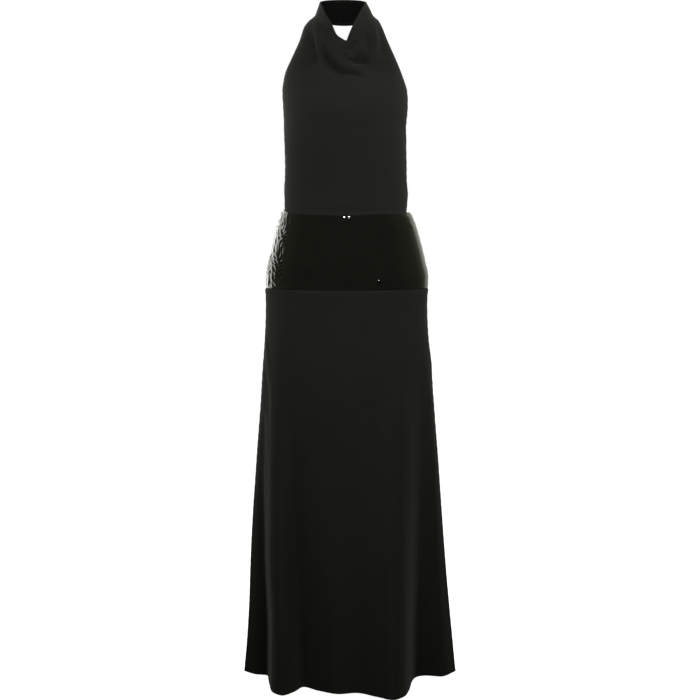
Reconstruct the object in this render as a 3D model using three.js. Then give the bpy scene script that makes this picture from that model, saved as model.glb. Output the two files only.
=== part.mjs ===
import * as THREE from 'three';

// Maxi dress with a cowl halter neck, a glossy hip yoke and a long flared skirt. It keeps the
// hollow form of a general figure. Millimetres, +Z up, front towards -Y, +X to the viewer's right.
// The origin is the middle of the neck, level with the nape band.

// Walls and seams
const CREPE_WALL = 1.5;
const YOKE_WALL = 2.2;
const SEAM_GAP = 0.3;
const TUCK_UNDER_YOKE = 12;
const TUCK_INSET = YOKE_WALL + SEAM_GAP;

// Main heights
const YOKE_TOP = -440;
const YOKE_BOTTOM = -606;
const UNDERARM = -175;
const HEM = -1473;

// Facets across each panel, from side seam to side seam, closer together towards the middle
const FRONT_COLUMNS = 50;
const BACK_COLUMNS = 36;
const BAND_COLUMNS = 22;
const CLOSER = 0.4;

// Rows of facets up each panel
const TORSO_ROWS = 6;
const COWL_ROWS = 22;
const BACK_ROWS = 7;
const YOKE_ROWS = 3;
const SKIRT_ROWS = 12;
const BAND_ROWS = 3;

const FRONT = -1;
const BACK = 1;

// Level sections of the body below the underarm. half: half width. shift: middle of the section.
// front, back: depth from the side seam. seam: the side seam's place towards the back.
// full: 2 is an ellipse, more is squarer.
const BODICE = [
  { name: 'yoke edge', height: -440, half: 134, shift: 5, front: 100, back: 88, seam: 5, full: 2.2 },
  { name: 'waist', height: -410, half: 135, shift: 5.5, front: 101, back: 84, seam: 5, full: 2.2 },
  { name: 'ribs', height: -348, half: 133.6, shift: 5.5, front: 107, back: 82, seam: 5, full: 2.2 },
  { name: 'under bust', height: -262, half: 133.4, shift: 3.5, front: 121, back: 84, seam: 5, full: 2.15 },
  { name: 'bust', height: -209, half: 136.5, shift: 4.5, front: 129, back: 88, seam: 5, full: 2.1 },
  { name: 'underarm', height: -175, half: 137, shift: 3, front: 126, back: 88, seam: 5, full: 2.05 },
];

const YOKE = [
  { name: 'top edge', height: -440, half: 141, shift: 4.8, front: 106, back: 95, seam: 5, full: 2.2 },
  { name: 'flare', height: -452, half: 147, shift: 6, front: 108, back: 98, seam: 5, full: 2.2 },
  { name: 'upper hip', height: -484, half: 157, shift: 7.4, front: 112, back: 106, seam: 5, full: 2.2 },
  { name: 'hip', height: -545, half: 172.8, shift: 7.4, front: 119, back: 119, seam: 5, full: 2.15 },
  { name: 'full hip', height: -582, half: 179.4, shift: 8, front: 121, back: 125, seam: 5, full: 2.1 },
  { name: 'bottom edge', height: -606, half: 179.4, shift: 7.4, front: 122, back: 126, seam: 5, full: 2.1 },
];

const SKIRT = [
  { name: 'seat', height: -606, half: 176.9, shift: 7.4, front: 119.5, back: 123.5, seam: 5, full: 2.1 },
  { name: 'below yoke', height: -634, half: 176.5, shift: 7, front: 121, back: 125, seam: 6, full: 2.1 },
  { name: 'thigh', height: -811, half: 189, shift: 8, front: 134, back: 138, seam: 9, full: 2.05 },
  { name: 'knee', height: -988, half: 203.5, shift: 8.5, front: 147, back: 150, seam: 14, full: 2 },
  { name: 'calf', height: -1164, half: 216, shift: 9, front: 158, back: 161, seam: 18, full: 2 },
  { name: 'low calf', height: -1341, half: 227.5, shift: 13, front: 167, back: 170, seam: 22, full: 2 },
  { name: 'hem', height: -1473, half: 240, shift: 14.5, front: 172, back: 175, seam: 27, full: 2 },
];

// Folds of the skirt as its hem shows them, from the left side seam (-1) to the right one (1).
// across: from the middle of the hem. out: towards the front or the back. starts: where it fades in.
const FRONT_FLUTES = [
  { name: 'left seam', around: -1, across: -239, out: -27, starts: -780 },
  { name: 'left panel', around: -0.91, across: -211, out: 1, starts: -760 },
  { name: 'left valley', around: -0.82, across: -186, out: 10, starts: -730 },
  { name: 'left flank', around: -0.74, across: -178, out: 78, starts: -700 },
  { name: 'left shoulder', around: -0.67, across: -169, out: 146, starts: -690 },
  { name: 'left crest', around: -0.59, across: -145, out: 176, starts: -690 },
  { name: 'left fall', around: -0.51, across: -120, out: 146, starts: -720 },
  { name: 'left dip', around: -0.42, across: -101, out: 108, starts: -780 },
  { name: 'left rise', around: -0.29, across: -70, out: 137, starts: -900 },
  { name: 'centre rise', around: -0.1, across: -23, out: 165, starts: -980 },
  { name: 'centre dip', around: 0.04, across: 12, out: 156, starts: -980 },
  { name: 'right rise', around: 0.2, across: 57, out: 187, starts: -900 },
  { name: 'right crest', around: 0.34, across: 92, out: 212, starts: -760 },
  { name: 'right shoulder', around: 0.44, across: 118, out: 180, starts: -700 },
  { name: 'right flank', around: 0.52, across: 129, out: 130, starts: -690 },
  { name: 'right foot', around: 0.6, across: 136, out: 70, starts: -690 },
  { name: 'right valley', around: 0.68, across: 148, out: 25, starts: -700 },
  { name: 'right trough', around: 0.77, across: 169, out: 13, starts: -740 },
  { name: 'right panel', around: 0.88, across: 203, out: 20, starts: -780 },
  { name: 'right seam', around: 1, across: 239, out: -27, starts: -780 },
];

const BACK_FLUTES = [
  { name: 'left seam', around: -1, across: -239, out: 27, starts: -780 },
  { name: 'left panel', around: -0.89, across: -216, out: 78, starts: -760 },
  { name: 'left valley', around: -0.77, across: -186, out: 98, starts: -740 },
  { name: 'left flank', around: -0.65, across: -166, out: 142, starts: -720 },
  { name: 'left crest', around: -0.53, across: -134, out: 186, starts: -720 },
  { name: 'left fall', around: -0.43, across: -108, out: 172, starts: -760 },
  { name: 'left dip', around: -0.34, across: -88, out: 158, starts: -820 },
  { name: 'centre rise', around: -0.14, across: -42, out: 180, starts: -940 },
  { name: 'centre crest', around: 0.03, across: 6, out: 196, starts: -900 },
  { name: 'centre dip', around: 0.2, across: 52, out: 170, starts: -860 },
  { name: 'right rise', around: 0.34, across: 86, out: 176, starts: -800 },
  { name: 'right crest', around: 0.48, across: 122, out: 200, starts: -720 },
  { name: 'right shoulder', around: 0.57, across: 146, out: 176, starts: -710 },
  { name: 'right flank', around: 0.65, across: 158, out: 128, starts: -700 },
  { name: 'right valley', around: 0.76, across: 180, out: 84, starts: -740 },
  { name: 'right panel', around: 0.88, across: 214, out: 70, starts: -760 },
  { name: 'right seam', around: 1, across: 239, out: 27, starts: -780 },
];
const FLUTE_SOFTNESS = 1.35;

// Front bodice above the underarm: the armhole edges on each side and the middle of each row.
const HALTER = [
  { name: 'underarm', edge: -175, left: -134, right: 140, edgeOut: -5, mid: -175, midOut: 121 },
  { name: 'chest', edge: -142, left: -127, right: 127.5, edgeOut: 14, mid: -153, midOut: 118 },
  { name: 'high chest', edge: -108, left: -111, right: 112, edgeOut: 32, mid: -131, midOut: 113 },
  { name: 'collarbone', edge: -69, left: -94, right: 95, edgeOut: 24, mid: -109, midOut: 106 },
  { name: 'shoulder', edge: -40, left: -85, right: 84, edgeOut: 10, mid: -96, midOut: 100 },
  { name: 'shoulder turn', edge: -26, left: -75, right: 77, edgeOut: 1, mid: -88, midOut: 96 },
  { name: 'notch', edge: -14, left: -62, right: 65, edgeOut: -5, mid: -83, midOut: 93 },
  { name: 'neck side', edge: 2, left: -56, right: 57, edgeOut: -6, mid: -79, midOut: 90 },
  { name: 'neckline', edge: 15, left: -51, right: 49.5, edgeOut: -7, mid: -76, midOut: 88 },
];
const NOTCH_ROW = 6;

// The neckline from the left side of the neck (-1) to the right: how far each place rises from
// the lowest point (0) to the neck side (1).
const NECKLINE = [
  { across: -1, rise: 1 },
  { across: -0.76, rise: 0.67 },
  { across: -0.5, rise: 0.42 },
  { across: -0.25, rise: 0.13 },
  { across: -0.08, rise: 0.06 },
  { across: 0.15, rise: 0 },
  { across: 0.25, rise: 0.13 },
  { across: 0.46, rise: 0.4 },
  { across: 0.8, rise: 0.76 },
  { across: 1, rise: 1 },
];
const SWAG_CURVE = 2.2;

// Folds of the cowl as they lie from the front: a path of across and height, the half width
// of the fold, and how far it stands out (or in, below zero).
const COWL_FOLDS = [
  { name: 'left hollow', path: [[-69, -45], [-67, -84], [-61, -124]], width: 10, rise: -6 },
  { name: 'left pleat', path: [[-59, -28], [-58, -82], [-48, -107], [-38, -128]], width: 7, rise: 5 },
  { name: 'swag trough', path: [[-50, -76], [-37, -98], [-24, -122], [-7, -141], [18, -151], [52, -156]],
    width: 9, rise: -8 },
  { name: 'swag roll', path: [[-40, -56], [-25, -86], [-13, -112], [4, -130], [27, -135], [58, -127]],
    width: 12, rise: 9 },
  { name: 'right pocket', path: [[24, -120], [50, -106]], width: 9, rise: -10 },
  { name: 'cowl crease', path: [[-4, -97], [22, -82], [40, -66]], width: 5, rise: -5 },
  { name: 'cowl fold', path: [[14, -100], [38, -90], [58, -78]], width: 7, rise: 6 },
  { name: 'right hollow', path: [[56, -26], [57, -73], [46, -120]], width: 8, rise: -7 },
  { name: 'right pleat', path: [[68, -20], [70, -72], [67, -124]], width: 6.5, rise: 7 },
  { name: 'right gutter', path: [[80, -48], [84, -82], [82, -120]], width: 9, rise: -4 },
];
// A fold is measured at this many places on its path, fades to this share of its height over
// this part of its length at each end, and lies flat at the panel's own edges.
const FOLD_STEPS = 80;
const FOLD_END = 0.18;
const FOLD_END_HEIGHT = 0.3;
const FOLD_HEM = 0.08;

// Nape band: its lower and upper edges at the middle of the back, and its depth behind the neck.
const BAND_BOTTOM = -30;
const BAND_TOP = 25;
const BAND_OUT = 60;

// The yoke's top edge dips at the middle of the front, and the back's top edge scoops low.
const YOKE_DIP = 8;
const BACK_SCOOP = 48;

const crepe = new THREE.MeshStandardMaterial({ color: 0x1d1d1e, roughness: 0.88, metalness: 0 });
const gloss = new THREE.MeshStandardMaterial({ color: 0x0b0b0c, roughness: 0.14, metalness: 0 });

/** Smooth curve through a table's rows that never swings past them (monotone cubic). */
function smooth(rows, key, column) {
  const ascending = [...rows].sort((a, b) => a[key] - b[key]);
  const xs = ascending.map((row) => row[key]);
  const ys = ascending.map((row) => row[column]);
  const rates = xs.slice(1).map((x, i) => (ys[i + 1] - ys[i]) / (x - xs[i]));
  const slopes = xs.map((_, i) => {
    if (i === 0) return rates[0];
    if (i === xs.length - 1) return rates[i - 1];
    const product = rates[i - 1] * rates[i];
    return product <= 0 ? 0 : (2 * product) / (rates[i - 1] + rates[i]);
  });
  return (x) => {
    let i = 0;
    while (i < xs.length - 2 && x > xs[i + 1]) i += 1;
    const span = xs[i + 1] - xs[i];
    const t = THREE.MathUtils.clamp((x - xs[i]) / span, 0, 1);
    const rest = 1 - t;
    return (1 + 2 * t) * rest * rest * ys[i] + t * rest * rest * span * slopes[i]
      + t * t * (3 - 2 * t) * ys[i + 1] - t * t * rest * span * slopes[i + 1];
  };
}

/** All of a table's named columns as smooth curves over one key. */
function curves(rows, key) {
  const columns = Object.keys(rows[0]).filter((column) => typeof rows[0][column] === 'number');
  return Object.fromEntries(columns.map((column) => [column, smooth(rows, key, column)]));
}

/** Point of a level section: around runs from the left side seam (-1) to the right one (1). */
function sectionPoint(body, side, around, height) {
  const angle = (around * Math.PI) / 2;
  const power = 2 / body.full(height);
  const depth = side === FRONT ? body.front(height) : body.back(height);
  const across = Math.sign(angle) * Math.abs(Math.sin(angle)) ** power;
  const out = Math.max(Math.cos(angle), 0) ** power;
  return new THREE.Vector3(
    body.shift(height) + body.half(height) * across,
    body.seam(height) + side * (depth * out + SEAM_GAP / 2),
    height,
  );
}

/** Grid of points, rows from the bottom up and columns so that the outside faces out. */
function grid(side, columns, heights, pointAt) {
  return heights.map((height) => Array.from({ length: columns + 1 }, (_, i) => {
    const even = -side * ((2 * i) / columns - 1);
    const closer = side === FRONT ? CLOSER : 0;
    return pointAt(even * (1 - closer + closer * even * even), height);
  }));
}

/** Even steps from one value to another, both included. */
function steps(from, to, count) {
  return Array.from({ length: count + 1 }, (_, i) => THREE.MathUtils.lerp(from, to, i / count));
}

/** Outward normal at each point of a grid, from its neighbours along and up. At the two seam
 * edges it stays in the seam's own plane, so that a wall ends flat against its neighbour. */
function normals(points) {
  return points.map((row, j) => row.map((_, i) => {
    const along = new THREE.Vector3().subVectors(
      row[Math.min(i + 1, row.length - 1)], row[Math.max(i - 1, 0)]);
    const up = new THREE.Vector3().subVectors(
      points[Math.min(j + 1, points.length - 1)][i], points[Math.max(j - 1, 0)][i]);
    const normal = along.cross(up);
    if (i === 0 || i === row.length - 1) normal.y = 0;
    return normal.normalize();
  }));
}

/** Grid moved in along its normals. */
function inset(points, amount) {
  const out = normals(points);
  return points.map((row, j) => row.map((point, i) => point.clone().addScaledVector(out[j][i], -amount)));
}

/** Closed cloth wall: the outer grid, the same grid moved in, and a strip round the edge. */
function wall(name, outer, thickness, material) {
  const inner = inset(outer, thickness);
  const rows = outer.length;
  const columns = outer[0].length;
  const layer = rows * columns;
  const outside = (j, i) => j * columns + i;
  const inside = (j, i) => layer + j * columns + i;
  const faces = [];
  const quad = (a, b, c, d) => faces.push(a, b, c, a, c, d);
  for (let j = 0; j < rows - 1; j += 1) {
    for (let i = 0; i < columns - 1; i += 1) {
      quad(outside(j, i), outside(j, i + 1), outside(j + 1, i + 1), outside(j + 1, i));
      quad(inside(j, i), inside(j + 1, i), inside(j + 1, i + 1), inside(j, i + 1));
    }
  }
  for (let i = 0; i < columns - 1; i += 1) {
    quad(inside(0, i), inside(0, i + 1), outside(0, i + 1), outside(0, i));
    quad(outside(rows - 1, i), outside(rows - 1, i + 1), inside(rows - 1, i + 1), inside(rows - 1, i));
  }
  for (let j = 0; j < rows - 1; j += 1) {
    quad(inside(j, 0), outside(j, 0), outside(j + 1, 0), inside(j + 1, 0));
    quad(outside(j, columns - 1), inside(j, columns - 1), inside(j + 1, columns - 1), outside(j + 1, columns - 1));
  }
  const positions = [...outer.flat(), ...inner.flat()].flatMap((point) => point.toArray());
  const geometry = new THREE.BufferGeometry();
  geometry.setAttribute('position', new THREE.Float32BufferAttribute(positions, 3));
  geometry.setIndex(faces);
  geometry.computeVertexNormals();
  const mesh = new THREE.Mesh(geometry, material);
  mesh.name = name;
  return mesh;
}

/** Place on the yoke, whose top edge dips towards the middle of the front. */
function yokePoint(side, around, height) {
  const point = sectionPoint(yokeBody, side, around, height);
  const fade = (height - YOKE_BOTTOM) / (YOKE_TOP - YOKE_BOTTOM);
  const dip = side === FRONT ? YOKE_DIP : 0;
  point.z -= dip * fade * fade * Math.cos((around * Math.PI) / 2) ** 2;
  return point;
}

/** Heights of the yoke's rows, with close rows where the bodice and the skirt are sewn under it. */
const YOKE_HEIGHTS = [
  YOKE_BOTTOM,
  ...steps(YOKE_BOTTOM + TUCK_UNDER_YOKE, YOKE_TOP - 2 * TUCK_UNDER_YOKE, YOKE_ROWS),
  YOKE_TOP - TUCK_UNDER_YOKE,
  YOKE_TOP,
];

function yokeGrid(side, columns) {
  return grid(side, columns, YOKE_HEIGHTS, (around, height) => yokePoint(side, around, height));
}

/** Rows just inside the yoke, all the way up, for a panel that is sewn under it. */
function underYoke(side, columns) {
  return inset(yokeGrid(side, columns), TUCK_INSET);
}

function yoke(name, side, columns) {
  return wall(name, yokeGrid(side, columns), YOKE_WALL, gloss);
}

/** Distance from a point to a fold's path seen from the front, and how far along the path it is. */
function fromPath(samples, across, height) {
  let nearest = { distance: Infinity, along: 0 };
  samples.forEach((sample, i) => {
    const distance = Math.hypot(across - sample.x, height - sample.y);
    if (distance < nearest.distance) nearest = { distance, along: i / (samples.length - 1) };
  });
  return nearest;
}

/** Grid with the cowl's folds raised or sunk along its normals. */
function folded(points) {
  const out = normals(points);
  const folds = COWL_FOLDS.map((fold) => ({
    ...fold,
    samples: new THREE.SplineCurve(fold.path.map(([x, z]) => new THREE.Vector2(x, z))).getPoints(FOLD_STEPS),
  }));
  return points.map((row, j) => row.map((point, i) => {
    const edge = Math.min(i, row.length - 1 - i) / (row.length - 1);
    const held = THREE.MathUtils.smoothstep(edge, 0, FOLD_HEM);
    const push = folds.reduce((sum, fold) => {
      const { distance, along } = fromPath(fold.samples, point.x, point.z);
      const inside = THREE.MathUtils.smoothstep(Math.min(along, 1 - along), 0, FOLD_END);
      const height = fold.rise * THREE.MathUtils.lerp(FOLD_END_HEIGHT, 1, inside);
      return sum + height * Math.exp(-((distance / fold.width) ** 2));
    }, 0);
    return point.clone().addScaledVector(out[j][i], held * push);
  }));
}

/** Place on the front bodice above the underarm, on row level (0 at the underarm). */
function halterPoint(around, level) {
  const angle = (around * Math.PI) / 2;
  const across = Math.sin(angle);
  const middle = (halter.left(level) + halter.right(level)) / 2;
  const half = (halter.right(level) - halter.left(level)) / 2;
  const top = HALTER.length - 1;
  const swag = Math.abs(across) ** SWAG_CURVE;
  const rise = THREE.MathUtils.lerp(swag, neckline(across), THREE.MathUtils.smoothstep(level, 0, top));
  const out = THREE.MathUtils.lerp(halter.edgeOut(level), halter.midOut(level), Math.max(Math.cos(angle), 0));
  return new THREE.Vector3(
    middle + half * across,
    -out - SEAM_GAP / 2,
    THREE.MathUtils.lerp(halter.mid(level), halter.edge(level), rise),
  );
}

function frontBodice() {
  const tuck = underYoke(FRONT, FRONT_COLUMNS).slice(-3, -1);
  const torso = steps(YOKE_TOP, UNDERARM, TORSO_ROWS).slice(0, -1);
  const levels = steps(0, HALTER.length - 1, COWL_ROWS);
  const lower = grid(FRONT, FRONT_COLUMNS, torso, (around, height) => sectionPoint(bodiceBody, FRONT, around, height));
  const upper = grid(FRONT, FRONT_COLUMNS, levels, halterPoint);
  return wall('front_bodice', [...tuck, ...folded([...lower, ...upper])], CREPE_WALL, crepe);
}

/** Back panel: flat rows at the yoke, scooped towards the middle at its top edge. */
function backBodice() {
  const tuck = underYoke(BACK, BACK_COLUMNS).slice(-3, -1);
  const heights = steps(YOKE_TOP, UNDERARM, BACK_ROWS);
  const panel = grid(BACK, BACK_COLUMNS, heights, (around, height) => {
    const fade = (height - YOKE_TOP) / (UNDERARM - YOKE_TOP);
    const scoop = BACK_SCOOP * fade * fade * Math.cos((around * Math.PI) / 2) ** 2;
    return sectionPoint(bodiceBody, BACK, around, height - scoop);
  });
  return wall('back_bodice', [...tuck, ...panel], CREPE_WALL, crepe);
}

/** Nape band, from the front's two upper ends round the back of the neck. */
function neckBand() {
  const levels = steps(NOTCH_ROW, HALTER.length - 1, BAND_ROWS);
  const outer = grid(BACK, BAND_COLUMNS, levels, (around, level) => {
    const angle = (around * Math.PI) / 2;
    const round = Math.max(Math.cos(angle), 0);
    const share = (level - NOTCH_ROW) / (HALTER.length - 1 - NOTCH_ROW);
    const middle = (halter.left(level) + halter.right(level)) / 2;
    const half = (halter.right(level) - halter.left(level)) / 2;
    const lift = THREE.MathUtils.lerp(BAND_BOTTOM, BAND_TOP, share);
    return new THREE.Vector3(
      middle + half * Math.sin(angle),
      THREE.MathUtils.lerp(-halter.edgeOut(level), BAND_OUT, round) + SEAM_GAP / 2,
      THREE.MathUtils.lerp(halter.edge(level), lift, round),
    );
  });
  return wall('neck_band', outer, CREPE_WALL, crepe);
}

/** Skirt panel: an A-line section that turns into the fluted hem lower down. */
function skirt(name, side, columns, flutes) {
  const fluteAt = curves(flutes, 'around');
  const heights = steps(HEM, YOKE_BOTTOM, SKIRT_ROWS).slice(0, -1);
  const panel = grid(side, columns, heights, (around, height) => {
    const point = sectionPoint(skirtBody, side, around, height);
    const atHem = sectionPoint(skirtBody, side, around, HEM);
    const starts = fluteAt.starts(around);
    const share = Math.max((starts - height) / (starts - HEM), 0) ** FLUTE_SOFTNESS;
    point.x += share * (skirtBody.shift(HEM) + fluteAt.across(around) - atHem.x);
    point.y += share * (side * fluteAt.out(around) + (side * SEAM_GAP) / 2 - atHem.y);
    return point;
  });
  return wall(name, [...panel, ...underYoke(side, columns).slice(0, 2)], CREPE_WALL, crepe);
}

const bodiceBody = curves(BODICE, 'height');
const yokeBody = curves(YOKE, 'height');
const skirtBody = curves(SKIRT, 'height');
const halter = curves(HALTER.map((row, level) => ({ ...row, level })), 'level');
const neckline = smooth(NECKLINE, 'across', 'rise');

const dress = new THREE.Group();
dress.add(
  frontBodice(),
  neckBand(),
  backBodice(),
  yoke('yoke_front', FRONT, FRONT_COLUMNS),
  yoke('yoke_back', BACK, BACK_COLUMNS),
  skirt('skirt_front', FRONT, FRONT_COLUMNS, FRONT_FLUTES),
  skirt('skirt_back', BACK, BACK_COLUMNS, BACK_FLUTES),
);

export default dress;
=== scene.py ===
"""Looks of a floor-length halter dress: crepe panels, a draped cowl front, a glossy hip yoke, and a stage.

Lengths are in millimetres until a mesh is made, and in metres from there on. +Z is up, the front faces
-Y, +X is to the right of someone facing the front, and the origin is the middle of the neck. The tables
of the body, the flutes and the cowl follow the part's source, with finer steps beside the yoke, so each
panel of cloth lies on its own solid.
"""

import math

import bpy
import numpy as np
from bpy.props import FloatProperty, FloatVectorProperty, IntProperty, PointerProperty
from bpy.types import Operator, Panel, PropertyGroup
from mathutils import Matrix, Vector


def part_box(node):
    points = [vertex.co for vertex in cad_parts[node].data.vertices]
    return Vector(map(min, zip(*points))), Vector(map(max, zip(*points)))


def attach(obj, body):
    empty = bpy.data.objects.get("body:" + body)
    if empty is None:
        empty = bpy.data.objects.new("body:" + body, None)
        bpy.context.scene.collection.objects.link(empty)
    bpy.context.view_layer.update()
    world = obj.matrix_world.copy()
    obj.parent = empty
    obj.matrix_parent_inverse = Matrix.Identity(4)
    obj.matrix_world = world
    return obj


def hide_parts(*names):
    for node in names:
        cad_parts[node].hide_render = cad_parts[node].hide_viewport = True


bl_info = {
    "name": "Halter Maxi Dress",
    "version": (1, 0, 0),
    "blender": (4, 5, 0),
    "location": "View3D > Sidebar > Dress",
    "description": "Dresses the packed frame of a cowl-neck halter dress in crepe and glossy cloth",
    "category": "Add Mesh",
}

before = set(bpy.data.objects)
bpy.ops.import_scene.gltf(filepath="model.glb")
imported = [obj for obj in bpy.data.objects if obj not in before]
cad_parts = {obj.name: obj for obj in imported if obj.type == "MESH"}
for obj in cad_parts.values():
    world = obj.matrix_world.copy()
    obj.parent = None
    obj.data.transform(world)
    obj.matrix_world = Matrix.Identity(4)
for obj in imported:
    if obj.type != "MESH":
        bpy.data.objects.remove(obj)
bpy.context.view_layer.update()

MM = 0.001
FRONT = -1
BACK = 1

# Main heights, read off the frame
HEM = round(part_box("skirt_back")[0].z / MM)
YOKE_BOTTOM = round(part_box("yoke_back")[0].z / MM)
YOKE_TOP = round(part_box("yoke_back")[1].z / MM)
UNDERARM = round(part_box("back_bodice")[1].z / MM)

# Seams: the gap that a sewn seam leaves, how far inside the yoke's wall the tucked edges lie, and the
# step in height between their rows
SEAM_GAP = 0.08
TUCK_CLEARANCE = 0.9
TUCK_UNDER_YOKE = 12

# How far the yoke's top dips in front and the back's top edge is scooped, how softly the flutes begin,
# how the cowl's rows curve, and the nape band's lower and upper heights and its place behind the neck
YOKE_DIP = 8
BACK_SCOOP = 48
FLUTE_SOFTNESS = 1.35
SWAG_CURVE = 2.2
BAND_BOTTOM = -30
BAND_TOP = 25
BAND_OUT = 60

# Level sections of the body: half width, middle, depth in front and behind the side seam, the side
# seam's place towards the back, and fullness (2 is an ellipse, more is squarer)
SECTION = ("height", "half", "shift", "front", "back", "seam", "full")
BODICE_ROWS = (
    (-440, 134, 5, 100, 88, 5, 2.2),
    (-410, 135, 5.5, 101, 84, 5, 2.2),
    (-348, 133.6, 5.5, 107, 82, 5, 2.2),
    (-262, 133.4, 3.5, 121, 84, 5, 2.15),
    (-209, 136.5, 4.5, 129, 88, 5, 2.1),
    (-175, 137, 3, 126, 88, 5, 2.05),
)
YOKE_ROWS = (
    (-432, 136.2, 5, 103, 91, 5, 2.2),
    (-440, 141, 4.8, 104.5, 94.5, 5, 2.2),
    (-452, 147, 6, 107, 98, 5, 2.2),
    (-484, 157, 7.4, 112, 106, 5, 2.2),
    (-545, 172.8, 7.4, 119, 119, 5, 2.15),
    (-582, 179.4, 8, 121, 125, 5, 2.1),
    (-606, 179.4, 7.4, 122, 126, 5, 2.1),
)
SKIRT_ROWS = (
    (-606, 179.9, 7.4, 122.3, 126.3, 5, 2.1),
    (-634, 178.2, 7, 122.5, 126.5, 6, 2.1),
    (-811, 189, 8, 134, 138, 9, 2.05),
    (-988, 203.5, 8.5, 147, 150, 14, 2),
    (-1164, 216, 9, 158, 161, 18, 2),
    (-1341, 227.5, 13, 167, 170, 22, 2),
    (-1473, 240, 14.5, 172, 175, 27, 2),
)

# Folds of the skirt as its hem shows them: place round the panel from the left side seam (-1) to the
# right one (1), across from the middle of the hem, out to the front or back, and where it fades in
FLUTE = ("around", "across", "out", "starts")
FRONT_FLUTES = (
    (-1, -239, -27, -780),
    (-0.91, -211, 1, -760),
    (-0.82, -186, 10, -730),
    (-0.74, -178, 78, -700),
    (-0.67, -169, 146, -690),
    (-0.59, -145, 176, -690),
    (-0.51, -120, 146, -720),
    (-0.42, -101, 108, -780),
    (-0.29, -70, 137, -900),
    (-0.1, -23, 165, -980),
    (0.04, 12, 156, -980),
    (0.2, 57, 187, -900),
    (0.34, 92, 212, -760),
    (0.44, 118, 180, -700),
    (0.52, 129, 130, -690),
    (0.6, 136, 70, -690),
    (0.68, 148, 25, -700),
    (0.77, 169, 13, -740),
    (0.88, 203, 20, -780),
    (1, 239, -27, -780),
)
BACK_FLUTES = (
    (-1, -239, 27, -780),
    (-0.89, -216, 78, -760),
    (-0.77, -186, 98, -740),
    (-0.65, -166, 142, -720),
    (-0.53, -134, 186, -720),
    (-0.43, -108, 172, -760),
    (-0.34, -88, 158, -820),
    (-0.14, -42, 180, -940),
    (0.03, 6, 196, -900),
    (0.2, 52, 170, -860),
    (0.34, 86, 176, -800),
    (0.48, 122, 200, -720),
    (0.57, 146, 176, -710),
    (0.65, 158, 128, -700),
    (0.76, 180, 84, -740),
    (0.88, 214, 70, -760),
    (1, 239, 27, -780),
)

# Front bodice above the underarm, a row of cloth at a time: the armhole edges' height and places, how
# far out they are, and the height and depth of the middle of the row
HALTER = ("level", "edge", "left", "right", "edge_out", "mid", "mid_out")
HALTER_ROWS = (
    (0, -175, -134, 140, -5, -175, 121),
    (1, -142, -127, 127.5, 14, -153, 118),
    (2, -108, -111, 112, 32, -131, 113),
    (3, -69, -94, 95, 24, -109, 106),
    (4, -40, -85, 84, 10, -96, 100),
    (5, -26, -75, 77, 1, -88, 96),
    (6, -14, -62, 65, -5, -83, 93),
    (7, 2, -56, 57, -6, -79, 90),
    (8, 15, -51, 49.5, -7, -76, 88),
)
NOTCH_LEVEL = 6
NECK_LEVEL = 8

# The neckline from the left side of the neck (-1) to the right: how far each place rises from the
# lowest point (0) to the neck side (1)
NECKLINE = (
    (-1, 1), (-0.76, 0.67), (-0.5, 0.42), (-0.25, 0.13), (-0.08, 0.06),
    (0.15, 0), (0.25, 0.13), (0.46, 0.4), (0.8, 0.76), (1, 1),
)

# Folds seen from the front: a path of across and height, the fold's half width, and how far it stands
# out (in, below zero). steep narrows the side to the right of the path's way.
COWL_FOLDS = (
    (((-70, -60), (-66, -93), (-62, -110), (-66, -134)), 9.5, -8, 1),
    (((-60, -26), (-58, -44), (-54, -68), (-53, -83), (-51, -98), (-46, -112), (-42, -130)), 7, 4.8, 1),
    (((-46, -98), (-36, -115), (-28, -126), (-18, -136), (-6, -144), (10, -150)), 11, -11, 0.8),
    (((-30, -74), (-23, -98), (-17, -114), (-7, -127), (8, -133), (31, -136), (60, -134)), 10, 7, 1),
    (((20, -114), (32, -120), (44, -121), (60, -116)), 12, -11, 0.7),
    (((22, -94), (35, -95), (50, -90)), 8, 4, 1),
    (((52, -48), (57, -70), (58, -86), (56, -104)), 8, -6.5, 1),
    (((63, -22), (63, -50), (64, -76), (65, -98), (68, -126)), 9, 5.2, 1),
    (((79, -44), (84, -80), (86, -116)), 8, -3.6, 1),
)
# Finer creases of the cowl that lie on those folds
COWL_CREASES = (
    (((-45, -80), (-41, -101), (-36, -118)), 5, -5, 1),
    (((-10, -144), (8, -148), (26, -150), (46, -156)), 4.5, -5, 0.6),
    (((-42, -49), (-32, -62)), 2.8, -2.2, 1),
    (((-50, -36), (-47, -60)), 6, -2.4, 1),
    (((-2, -96), (11, -91), (20, -87), (27, -80), (38, -72)), 4.8, -4.4, 1),
    (((1, -101), (10, -103)), 3.4, 1.8, 1),
    (((1, -107), (9, -110)), 3.4, -2, 1),
    (((8, -109), (20, -113)), 3.4, 2, 1),
    (((7, -117), (19, -119), (28, -128)), 4, -3.4, 1),
)
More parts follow.
